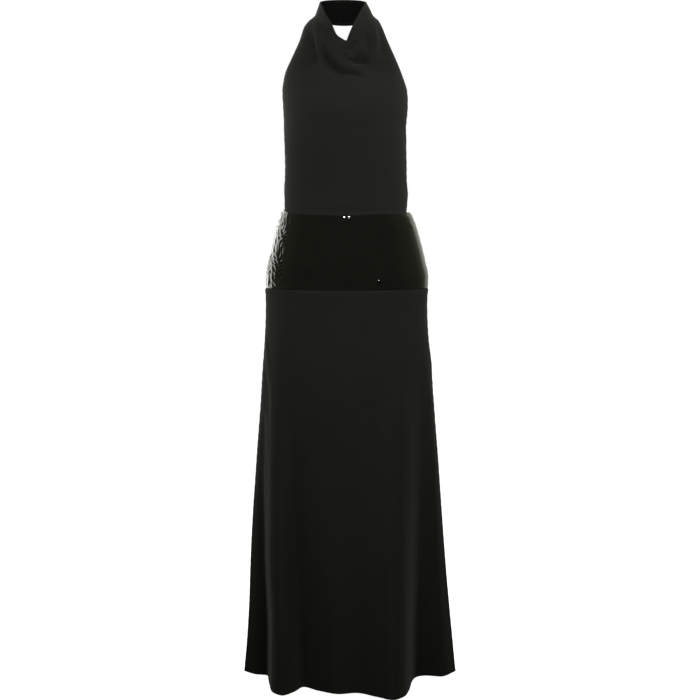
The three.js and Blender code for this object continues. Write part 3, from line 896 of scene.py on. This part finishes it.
def crepe_material(colours):
    """Matte black crepe: a weave of fine yarns, broken up by the pebbles of its tight twist, with a
    soft sheen where it is seen at a slant. Its colour is scaled by the tone attribute, which paints
    shade over the cowl and in the hollows of its folds."""
    material = bpy.data.materials.new("black_crepe")
    tree, shader = nodes_of(material)
    cloth = cloth_coordinates(tree)
    weave = combine(tree, "MULTIPLY", threads(tree, cloth, "X", 0.0007), threads(tree, cloth, "Y", 0.0008))
    pebbles = noise(tree, cloth, 900, detail=3, roughness=0.6)
    relief = combine(tree, "ADD", combine(tree, "MULTIPLY", weave, 0.6), pebbles)
    base = tuple(colours.crepe)
    fine = combine(tree, "MULTIPLY", relief, 0.35)
    broad = combine(tree, "MULTIPLY", noise(tree, cloth, 14, detail=3), 0.25)
    mottle = combine(tree, "ADD", fine, broad)
    tone = ramp(tree, mottle, ((0.2, shade(base, 0.8)), (0.8, shade(base, 1.2))))
    # Painted shade: the mottled colour is scaled by the tone attribute, darker over the cowl and in its
    # hollows
    share = tree.nodes.new("ShaderNodeAttribute")
    share.attribute_name = "tone"
    shaded_colour = tree.nodes.new("ShaderNodeVectorMath")
    shaded_colour.operation = "SCALE"
    tree.links.new(tone, shaded_colour.inputs["Vector"])
    tree.links.new(share.outputs["Fac"], shaded_colour.inputs["Scale"])
    tree.links.new(shaded_colour.outputs["Vector"], shader.inputs["Base Color"])
    tree.links.new(ramp(tree, pebbles, ((0.3, 0.82), (0.7, 0.95))), shader.inputs["Roughness"])
    tree.links.new(bump(tree, relief, 0.35, 0.00015), shader.inputs["Normal"])
    shader.inputs["Sheen Weight"].default_value = 0.07
    shader.inputs["Sheen Roughness"].default_value = 0.45
    shader.inputs["Specular IOR Level"].default_value = 0.1
    return material


def wrong_side_material(colours):
    """Inside of the crepe: its satin back, with long floats of yarn across it, coloured darker than the face
    as painted shade for the inside of the dress.
    """
    material = bpy.data.materials.new("crepe_wrong_side")
    tree, shader = nodes_of(material)
    cloth = cloth_coordinates(tree)
    floats = threads(tree, cloth, "Y", 0.0005)
    grain = noise(tree, cloth, 700, detail=2)
    base = tuple(colours.shaded_crepe_inside)
    tone = ramp(tree, grain, ((0.3, shade(base, 0.85)), (0.7, shade(base, 1.15))))
    tree.links.new(tone, shader.inputs["Base Color"])
    tree.links.new(ramp(tree, floats, ((0.2, 0.5), (0.8, 0.6))), shader.inputs["Roughness"])
    tree.links.new(bump(tree, combine(tree, "ADD", floats, grain), 0.25, 0.0001), shader.inputs["Normal"])
    shader.inputs["Specular IOR Level"].default_value = 0
    return material


def gloss_material(colours):
    """Black coated cloth: a clear smooth coat over a darker ground, with the orange peel and the broad
    shallow swirls of a thin film."""
    material = bpy.data.materials.new("black_coated_cloth")
    tree, shader = nodes_of(material)
    cloth = cloth_coordinates(tree)
    peel = noise(tree, cloth, 240, detail=2)
    swirl = noise(tree, cloth, 30, detail=3)
    base = tuple(colours.gloss)
    tone = ramp(tree, swirl, ((0.3, shade(base, 0.85)), (0.7, shade(base, 1.2))))
    tree.links.new(tone, shader.inputs["Base Color"])
    tree.links.new(ramp(tree, peel, ((0.35, 0.26), (0.7, 0.36))), shader.inputs["Roughness"])
    relief = bump(tree, swirl, 0.06, 0.0008)
    relief = bump(tree, peel, 0.05, 0.0001, relief)
    tree.links.new(relief, shader.inputs["Normal"])
    tree.links.new(relief, shader.inputs["Coat Normal"])
    shader.inputs["Coat Weight"].default_value = 1.0
    shader.inputs["Coat Roughness"].default_value = colours.gloss_roughness
    shader.inputs["Specular IOR Level"].default_value = 0
    return material


def thread_material(colours):
    """Black sewing thread: twisted, a little lighter and glossier than the crepe."""
    material = bpy.data.materials.new("black_thread")
    tree, shader = nodes_of(material)
    twist = threads(tree, cloth_coordinates(tree), "DIAGONAL", 0.0006)
    base = tuple(colours.crepe)
    tone = ramp(tree, twist, ((0.2, shade(base, 1.2)), (0.8, shade(base, 2.4))))
    tree.links.new(tone, shader.inputs["Base Color"])
    tree.links.new(bump(tree, twist, 0.5, 0.0001), shader.inputs["Normal"])
    shader.inputs["Roughness"].default_value = 0.6
    shader.inputs["Specular IOR Level"].default_value = 0.2
    return material


def material_named(name, make):
    """The material of that name, made on first use."""
    return bpy.data.materials.get(name) or make(bpy.context.scene.dress_colours)


def crepe():
    """The crepe's right side and wrong side."""
    return (material_named("black_crepe", crepe_material),
            material_named("crepe_wrong_side", wrong_side_material))


def thread():
    """The sewing thread."""
    return material_named("black_thread", thread_material)


def gloss():
    """The coated cloth's right side, and an inside of the same satin as the crepe's."""
    return (material_named("black_coated_cloth", gloss_material),
            material_named("crepe_wrong_side", wrong_side_material))


def under_yoke(side, columns, inset, heights, closer):
    """Rows of a panel where it is sewn under the yoke: the yoke's surface moved in along its normals, at
    the heights given, from the two nearest of its rows."""
    reach = np.linspace(YOKE_BOTTOM, YOKE_TOP, TUCK_GRID)
    points = yoke_surface(side, *lattice(side, columns, reach, closer))
    inner = points - normals(points, np.arange(len(reach))) * inset
    place = (np.array(heights) - YOKE_BOTTOM) / (YOKE_TOP - YOKE_BOTTOM) * (len(reach) - 1)
    below = np.clip(place.astype(int), 0, len(reach) - 2)
    return lerp(inner[below], inner[below + 1], (place - below)[:, None, None])


class DRESS_OT_front_bodice(Operator):
    """Front bodice: the draped cowl and halter above the underarm, the torso below, sewn under the yoke"""

    bl_idname = "dress.front_bodice"
    bl_label = "Front bodice"

    def execute(self, context):
        sizes = context.scene.dress_sizes
        wall, edge = sizes.crepe_wall / MM, sizes.edge_depth / MM
        columns = sizes.bodice_columns
        # Rows from below: two tucked under the yoke, the torso, and the cowl above the underarm
        tuck = under_yoke(FRONT, columns, sizes.yoke_wall / MM + TUCK_CLEARANCE,
                          [YOKE_TOP - 2 * TUCK_UNDER_YOKE, YOKE_TOP - TUCK_UNDER_YOKE], BODICE_GATHER)
        heights = np.linspace(YOKE_TOP, UNDERARM, TORSO_GRID)[:-1]
        torso = section(BODICE, FRONT, *lattice(FRONT, columns, heights, BODICE_GATHER))
        levels = np.linspace(0, NECK_LEVEL, COWL_GRID)
        upper = halter_surface(*lattice(FRONT, columns, levels, BODICE_GATHER))
        body = np.concatenate([torso, upper])
        body = settle_rows(body, len(torso), UNDERARM_SPREAD, UNDERARM_PASSES)
        around = lattice(FRONT, columns, np.arange(len(body)), BODICE_GATHER)[0]
        # Folds push the cloth out along its normals, and die away towards the armholes
        seam_rows = np.arange(len(torso))
        out = normals(body, seam_rows)
        along, _ = cloth_places(body)
        _, from_top, from_side = edge_distances(body)
        held = smoothstep((1 - np.abs(around)) / 2, 0, FOLD_HEM)
        height = body[..., 2]
        push = held * fold_push(body[..., 0], height, COWL_FOLDS)
        push += held * fold_push(body[..., 0], height, COWL_CREASES)
        # Painted shade: the crepe's colour is darkened over the cowl and in the hollows of its folds, and
        # the tone attribute carries it
        cowl_shade = smoothstep(-height, -PAINTED_SHADE_TOP[0], -PAINTED_SHADE_TOP[1]) * smoothstep(height, *PAINTED_SHADE_BOTTOM)
        tone = 1 - COWL_PAINTED_SHADE * cowl_shade + HOLLOW_PAINTED_SHADE * np.clip(push, -PAINTED_SHADE_DEPTH, 0)
        push += fold_push(along, height, FRONT_CREASES) + unevenness(along, height, UNEVEN["front_bodice"])
        push += NECK_ROLL * bell(from_top - NECK_ROLL_IN, NECK_ROLL_WIDTH) * held
        push += seam_pull(from_side, height, seam_rows)
        body = body + out * push[..., None]
        outer = np.concatenate([tuck, body])
        seam_rows = np.arange(len(torso) + len(tuck))
        _, from_top, from_side = edge_distances(outer)
        # The neck's edge and, above the underarm, the two sides are turned in and stitched
        open_side = np.ones(len(outer))
        open_side[seam_rows] = 0
        rolled = np.zeros(outer.shape[:2])
        rolled[:, (0, -1)] = open_side[:, None]
        rolled[-1] = 1
        to_edge = np.minimum(from_top, np.where(open_side[:, None] > 0, from_side, np.inf))
        outer = outer + normals(outer, seam_rows) * stitch_line(to_edge, edge)[..., None]
        thickness = wall + turned_edge(to_edge, edge, wall)
        places = np.stack(cloth_places(outer), -1)
        tone = np.concatenate([np.ones(tuck.shape[:2]), tone])
        piece = cloth_wall("front_bodice_crepe", outer, normals(outer, seam_rows), thickness, rolled, places,
                           crepe(), tone)
        declare(piece, "front_bodice")
        return {"FINISHED"}


class DRESS_OT_nape_band(Operator):
    """Band round the nape, from the front's two upper ends, with its stitched lower and upper edges"""

    bl_idname = "dress.nape_band"
    bl_label = "Nape band"

    def execute(self, context):
        sizes = context.scene.dress_sizes
        wall, edge = sizes.crepe_wall / MM, sizes.edge_depth / MM
        around, level = lattice(BACK, NAPE_COLUMNS, np.linspace(NOTCH_LEVEL, NECK_LEVEL, NAPE_GRID))
        angle = around * math.pi / 2
        rounding = np.clip(np.cos(angle), 0, None)
        left, right = HALTER_AT["left"](level), HALTER_AT["right"](level)
        lift = lerp(BAND_BOTTOM, BAND_TOP, (level - NOTCH_LEVEL) / (NECK_LEVEL - NOTCH_LEVEL))
        points = np.stack([
            (left + right) / 2 + (right - left) / 2 * np.sin(angle),
            lerp(-HALTER_AT["edge_out"](level), BAND_OUT, rounding) + SEAM_GAP / 2,
            lerp(HALTER_AT["edge"](level), lift, rounding),
        ], -1)
        seam_rows = np.arange(len(points))
        along, _ = cloth_places(points)
        from_bottom, from_top, from_side = edge_distances(points)
        to_edge = np.minimum(from_bottom, from_top)
        push = unevenness(NAPE_WAVES * along, NAPE_WAVES * points[..., 2], UNEVEN["neck_band"])
        push *= smoothstep(from_side, 0, NAPE_CALM)
        push += stitch_line(to_edge, edge) + seam_pull(from_side, points[..., 2], seam_rows)
        outer = points + normals(points, seam_rows) * push[..., None]
        out = normals(outer, seam_rows)
        thickness = wall + turned_edge(to_edge, edge, wall)
        rolled = np.zeros(outer.shape[:2])
        rolled[(0, -1), 1:-1] = 1
        piece = cloth_wall("nape_band_crepe", outer, out, thickness, rolled,
                           np.stack(cloth_places(outer), -1), crepe())
        declare(piece, "neck_band")
        inner = outer - out * thickness[..., None]
        clear = slice(NAPE_FREE, -NAPE_FREE)
        runs = [stitches(face[row, clear], way[row, clear])
                for row in (STITCH_ROW, -1 - STITCH_ROW)
                for face, way in ((outer, out), (inner, -out))]
        sewing = mesh_piece("nape_band_stitches", *joined(runs), thread())
        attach(sewing, "root")
        return {"FINISHED"}


class DRESS_OT_back_bodice(Operator):
    """Back bodice below the underarms, its top edge scooped low under the open back"""

    bl_idname = "dress.back_bodice"
    bl_label = "Back bodice"

    def execute(self, context):
        sizes = context.scene.dress_sizes
        wall, edge = sizes.crepe_wall / MM, sizes.edge_depth / MM
        columns = sizes.bodice_columns
        tuck = under_yoke(BACK, columns, sizes.yoke_wall / MM + TUCK_CLEARANCE,
                          [YOKE_TOP - 2 * TUCK_UNDER_YOKE, YOKE_TOP - TUCK_UNDER_YOKE], 0)
        around, height = lattice(BACK, columns, np.linspace(YOKE_TOP, UNDERARM, BACK_GRID))
        fade = (height - YOKE_TOP) / (UNDERARM - YOKE_TOP)
        scoop = BACK_SCOOP * fade ** 2 * np.cos(around * math.pi / 2) ** 2
        panel = section(BODICE, BACK, around, height - scoop)
        seam_rows = np.arange(len(panel))
        along, _ = cloth_places(panel)
        _, from_top, from_side = edge_distances(panel)
        height = panel[..., 2]
        push = fold_push(along, height, BACK_CREASES) + unevenness(along, height, UNEVEN["back_bodice"])
        push += seam_pull(from_side, height, seam_rows) + stitch_line(from_top, edge)
        panel = panel + normals(panel, seam_rows) * push[..., None]
        outer = np.concatenate([tuck, panel])
        seam_rows = np.arange(len(outer))
        _, from_top, _ = edge_distances(outer)
        thickness = wall + turned_edge(from_top, edge, wall)
        rolled = np.zeros(outer.shape[:2])
        rolled[-1, 1:-1] = 1
        piece = cloth_wall("back_bodice_crepe", outer, normals(outer, seam_rows), thickness, rolled,
                           np.stack(cloth_places(outer), -1), crepe())
        declare(piece, "back_bodice")
        return {"FINISHED"}


def crinkle(along, height, size):
    """Crumple of a coated film: cells up to 12 mm high and 19 mm round between sharp ridges. It is a
    middle height less the sizes of three sine waves at 60 degrees to one another, each bent by two slow
    waves, and it is deeper in some places than in others."""
    bend = 3.1 * np.sin(height / 11 + 0.8 * np.sin(along / 13)) + 2.3 * np.sin(along / 9 + 1.1)
    slow = CRINKLE_STRETCH * along
    waves = [np.abs(np.sin((slow * math.cos(turn) + height * math.sin(turn) + bend * k) / CRINKLE_WAVE + k))
             for k, turn in enumerate(CRINKLE_DIRECTIONS, 1)]
    depth = 1 + CRINKLE_UNEVEN * np.sin(height / 17 + along / 12) * np.sin(height / 7 - along / 21)
    return size * depth * (len(waves) / 2 - sum(waves))


def yoke_piece(context, name, node, side, rows, creases):
    """Panel of the glossy hip yoke: its surface, crumpled at the sides and with a few soft creases, is
    pushed along its normals. Its edges are flat, because it is lapped over the crepe and sewn down."""
    sizes = context.scene.dress_sizes
    wall = sizes.yoke_wall / MM
    heights = np.linspace(YOKE_BOTTOM, YOKE_TOP, rows)
    around, height = lattice(side, sizes.yoke_columns, heights, YOKE_GATHER)
    points = yoke_surface(side, around, height)
    seam_rows = np.arange(len(points))
    along, _ = cloth_places(points)
    from_bottom, from_top, from_side = edge_distances(points)
    if side == FRONT:
        sides = smoothstep(-around, *CRINKLE_LEFT)
        sides += CRINKLE_RIGHT_SHARE * smoothstep(around, *CRINKLE_RIGHT)
    else:
        sides = smoothstep(np.abs(around), *CRINKLE_BACK)
    inside = smoothstep(np.minimum(from_bottom, from_top), *CRINKLE_FROM_EDGE)
    inside *= smoothstep(from_side, *CRINKLE_FROM_SEAM)
    push = crinkle(along, height, sizes.crinkle / MM) * sides * inside
    push += fold_push(along, height, creases) + unevenness(along, height, UNEVEN["yoke"])
    push += seam_pull(from_side, height, seam_rows)
    if side == FRONT:
        for place, place_height, width, rise in YOKE_PUCKERS:
            push += rise * bell(np.hypot(along - place, points[..., 2] - place_height), width)
    outer = points + normals(points, seam_rows) * push[..., None]
    rolled = np.zeros(outer.shape[:2])
    piece = cloth_wall(name, outer, normals(outer, seam_rows), np.full(outer.shape[:2], wall), rolled,
                       np.stack(cloth_places(outer), -1), gloss())
    declare(piece, node)


class DRESS_OT_hip_yoke(Operator):
    """Front and back of the wide glossy hip yoke"""

    bl_idname = "dress.hip_yoke"
    bl_label = "Hip yoke"

    def execute(self, context):
        yoke_piece(context, "yoke_front_gloss", "yoke_front", FRONT, YOKE_FRONT_GRID, YOKE_CREASES)
        yoke_piece(context, "yoke_back_gloss", "yoke_back", BACK, YOKE_BACK_GRID, YOKE_BACK_CREASES)
        return {"FINISHED"}


def skirt_piece(context, name, node, side, flutes, creases):
    """Long flared skirt panel: its flutes, soft creases, side seams and turned-up hem."""
    sizes = context.scene.dress_sizes
    wall, hem = sizes.crepe_wall / MM, sizes.hem_depth / MM
    columns = sizes.skirt_columns
    down = lattice(side, columns, np.linspace(HEM, YOKE_BOTTOM, SKIRT_GRID)[:-1])
    panel = skirt_surface(side, *down, curves(FLUTE, flutes))
    seam_rows = np.arange(len(panel))
    along, _ = cloth_places(panel)
    height = panel[..., 2]
    from_hem, _, from_side = edge_distances(panel)
    push = fold_push(along, height, creases) + unevenness(along, height, UNEVEN["skirt"])
    push += seam_pull(from_side, height, seam_rows) + stitch_line(from_hem, hem)
    panel = panel + normals(panel, seam_rows) * push[..., None]
    tuck = under_yoke(side, columns, sizes.yoke_wall / MM + TUCK_CLEARANCE,
                      [YOKE_BOTTOM, YOKE_BOTTOM + TUCK_UNDER_YOKE], 0)
    outer = np.concatenate([panel, tuck])
    seam_rows = np.arange(len(outer))
    from_hem, _, _ = edge_distances(outer)
    thickness = wall + turned_edge(from_hem, hem, wall)
    rolled = np.zeros(outer.shape[:2])
    rolled[0, 1:-1] = 1
    piece = cloth_wall(name, outer, normals(outer, seam_rows), thickness, rolled,
                       np.stack(cloth_places(outer), -1), crepe())
    declare(piece, node)


class DRESS_OT_skirt(Operator):
    """Front and back of the long flared skirt"""

    bl_idname = "dress.skirt"
    bl_label = "Skirt"

    def execute(self, context):
        skirt_piece(context, "skirt_front_crepe", "skirt_front", FRONT, FRONT_FLUTES, SKIRT_FRONT_CREASES)
        skirt_piece(context, "skirt_back_crepe", "skirt_back", BACK, BACK_FLUTES, SKIRT_BACK_CREASES)
        return {"FINISHED"}


def studio_world(settings):
    """Studio round the dress: dim behind the camera, lighter to the sides and behind the dress, dark
    underfoot, and plain white where the camera looks straight at it."""
    world = bpy.data.worlds.new("studio")
    bpy.context.scene.world = world
    world.use_nodes = True
    tree = world.node_tree
    tree.nodes.clear()
    way = tree.nodes.new("ShaderNodeTexCoord").outputs["Generated"]
    split = tree.nodes.new("ShaderNodeSeparateXYZ")
    tree.links.new(way, split.inputs["Vector"])
    forward = combine(tree, "MULTIPLY", split.outputs["Y"], -1.0)
    turn = combine(tree, "ARCTAN2", split.outputs["X"], forward)
    share = combine(tree, "ADD", combine(tree, "MULTIPLY", turn, 1 / (2 * math.pi)), 0.5)
    colour = tuple(settings.glow_colour)
    glows = (*GLOW_LEFT, *((degrees, settings.front_glow) for degrees in GLOW_FRONT), *GLOW_RIGHT)
    level = ramp(tree, share, [((degrees + 180) / 360, shade(colour, grey)) for degrees, grey in glows])
    height = combine(tree, "ADD", combine(tree, "MULTIPLY", split.outputs["Z"], 0.5), 0.5)
    rise = ramp(tree, height, GLOW_RISE)
    around = tree.nodes.new("ShaderNodeMix")
    around.data_type = "RGBA"
    around.blend_type = "MULTIPLY"
    around.inputs["Factor"].default_value = 1
    tree.links.new(level, around.inputs["A"])
    tree.links.new(rise, around.inputs["B"])
    glow = tree.nodes.new("ShaderNodeBackground")
    glow.inputs["Strength"].default_value = settings.glow
    tree.links.new(around.outputs["Result"], glow.inputs["Color"])
    plain = tree.nodes.new("ShaderNodeBackground")
    plain.inputs["Color"].default_value = (1, 1, 1, 1)
    pick = tree.nodes.new("ShaderNodeMixShader")
    seen = tree.nodes.new("ShaderNodeLightPath").outputs["Is Camera Ray"]
    tree.links.new(seen, pick.inputs["Fac"])
    tree.links.new(glow.outputs["Background"], pick.inputs[1])
    tree.links.new(plain.outputs["Background"], pick.inputs[2])
    output = tree.nodes.new("ShaderNodeOutputWorld")
    tree.links.new(pick.outputs["Shader"], output.inputs["Surface"])


def area_light(name, place, aim, size, power):
    """Soft rectangular lamp that faces a place."""
    data = bpy.data.lights.new(name, "AREA")
    data.shape = "RECTANGLE"
    data.size, data.size_y = size
    data.energy = power
    lamp = bpy.data.objects.new(name, data)
    lamp.location = place
    toward = np.subtract(aim, place)
    lamp.rotation_euler = (math.atan2(math.hypot(toward[0], toward[1]), -toward[2]), 0,
                           math.atan2(toward[1], toward[0]) - math.pi / 2)
    bpy.context.scene.collection.objects.link(lamp)
    return lamp


def floor_material():
    """Pale studio floor, lit until it is almost white, with a faint mottle."""
    material = bpy.data.materials.new("pale_floor")
    tree, shader = nodes_of(material)
    place = tree.nodes.new("ShaderNodeTexCoord").outputs["Object"]
    tree.links.new(ramp(tree, noise(tree, place, 3), ((0.3, 0.84), (0.7, 0.9))), shader.inputs["Base Color"])
    shader.inputs["Roughness"].default_value = 0.9
    shader.inputs["Emission Color"].default_value = (1, 1, 1, 1)
    shader.inputs["Emission Strength"].default_value = 1.0
    return material


def flag_material():
    """Black felt of the flags that keep the side light off the skirt's flutes."""
    material = bpy.data.materials.get("black_felt")
    if material is None:
        material = bpy.data.materials.new("black_felt")
        tree, shader = nodes_of(material)
        place = tree.nodes.new("ShaderNodeTexCoord").outputs["Object"]
        nap = ramp(tree, noise(tree, place, 60), ((0.3, 0.001), (0.7, 0.003)))
        tree.links.new(nap, shader.inputs["Base Color"])
        shader.inputs["Roughness"].default_value = 1.0
        shader.inputs["Specular IOR Level"].default_value = 0
    return material


def stage_card(name, corners, material):
    """Flat four-sided card of the stage, which the gloss doesn't mirror."""
    mesh = bpy.data.meshes.new(name)
    mesh.from_pydata(corners, [], [(0, 1, 2, 3)])
    mesh.materials.append(material)
    card = bpy.data.objects.new(name, mesh)
    bpy.context.scene.collection.objects.link(card)
    card.visible_glossy = False
    return card


class DRESS_OT_stage(Operator):
    """Pale floor, white studio, soft light and the camera"""

    bl_idname = "dress.stage"
    bl_label = "Stage"

    def execute(self, context):
        settings = context.scene.dress_stage
        context.scene.view_settings.view_transform = "Standard"
        studio_world(settings)
        drop = HEM * MM - settings.floor_drop
        corners = ((-1, -1), (1, -1), (1, 1), (-1, 1))
        floor = stage_card("floor", [(x * FLOOR_REACH, y * FLOOR_REACH, drop) for x, y in corners],
                           floor_material())
        floor.visible_diffuse = False
        top = settings.flag_top
        for name, x in (("left_flag", -settings.flag_distance), ("right_flag", settings.flag_distance)):
            flag = stage_card(name, ((x, FLAG_FRONT, drop), (x, FLAG_BACK, drop), (x, FLAG_BACK, top),
                                     (x, FLAG_FRONT, top)), flag_material())
            flag.visible_camera = False
        for name, place, size, power in CLOTH_LAMPS:
            lamp = area_light(name, place, CLOTH_AIM, size, getattr(settings, power))
            lamp.visible_glossy = False
            lamp.visible_camera = False
        bpy.data.lights["front_fill"].color = settings.front_colour
        for name, place, size, power in GLOSS_LAMPS:
            panel = area_light(name, place, GLOSS_AIM, size, getattr(settings, power))
            panel.visible_diffuse = False
            panel.visible_camera = False
        camera_data = bpy.data.cameras.new("camera")
        drop_to_aim = settings.eye_height - settings.aim_height
        span = math.hypot(settings.distance, drop_to_aim)
        camera_data.sensor_width = SENSOR_WIDTH
        camera_data.lens = SENSOR_WIDTH * span / settings.view_height
        camera = bpy.data.objects.new("camera", camera_data)
        camera.location = (settings.across, -settings.distance, settings.eye_height)
        camera.rotation_euler = (math.pi / 2 - math.atan2(drop_to_aim, settings.distance), 0, 0)
        context.scene.collection.objects.link(camera)
        context.scene.camera = camera
        return {"FINISHED"}


PIECES = (DRESS_OT_front_bodice, DRESS_OT_nape_band, DRESS_OT_back_bodice, DRESS_OT_hip_yoke, DRESS_OT_skirt,
          DRESS_OT_stage)


class DRESS_PT_sidebar(Panel):
    """Sidebar list of the dress's pieces and stage."""

    bl_label = "Dress"
    bl_idname = "DRESS_PT_sidebar"
    bl_space_type = "VIEW_3D"
    bl_region_type = "UI"
    bl_category = "Dress"

    def draw(self, context):
        for piece in PIECES:
            self.layout.operator(piece.bl_idname)
        for group in (context.scene.dress_sizes, context.scene.dress_colours, context.scene.dress_stage):
            box = self.layout.box()
            for name in group.__annotations__:
                box.prop(group, name)


CLASSES = (DressSizes, DressColours, StageSettings, *PIECES, DRESS_PT_sidebar)


def register():
    for cls in CLASSES:
        bpy.utils.register_class(cls)
    bpy.types.Scene.dress_sizes = PointerProperty(type=DressSizes)
    bpy.types.Scene.dress_colours = PointerProperty(type=DressColours)
    bpy.types.Scene.dress_stage = PointerProperty(type=StageSettings)


def unregister():
    del bpy.types.Scene.dress_stage
    del bpy.types.Scene.dress_colours
    del bpy.types.Scene.dress_sizes
    for cls in reversed(CLASSES):
        bpy.utils.unregister_class(cls)


def main():
    """Builds every piece and the stage."""
    register()
    bpy.ops.dress.front_bodice()
    bpy.ops.dress.nape_band()
    bpy.ops.dress.back_bodice()
    bpy.ops.dress.hip_yoke()
    bpy.ops.dress.skirt()
    bpy.ops.dress.stage()


if __name__ == "__main__":
    main()
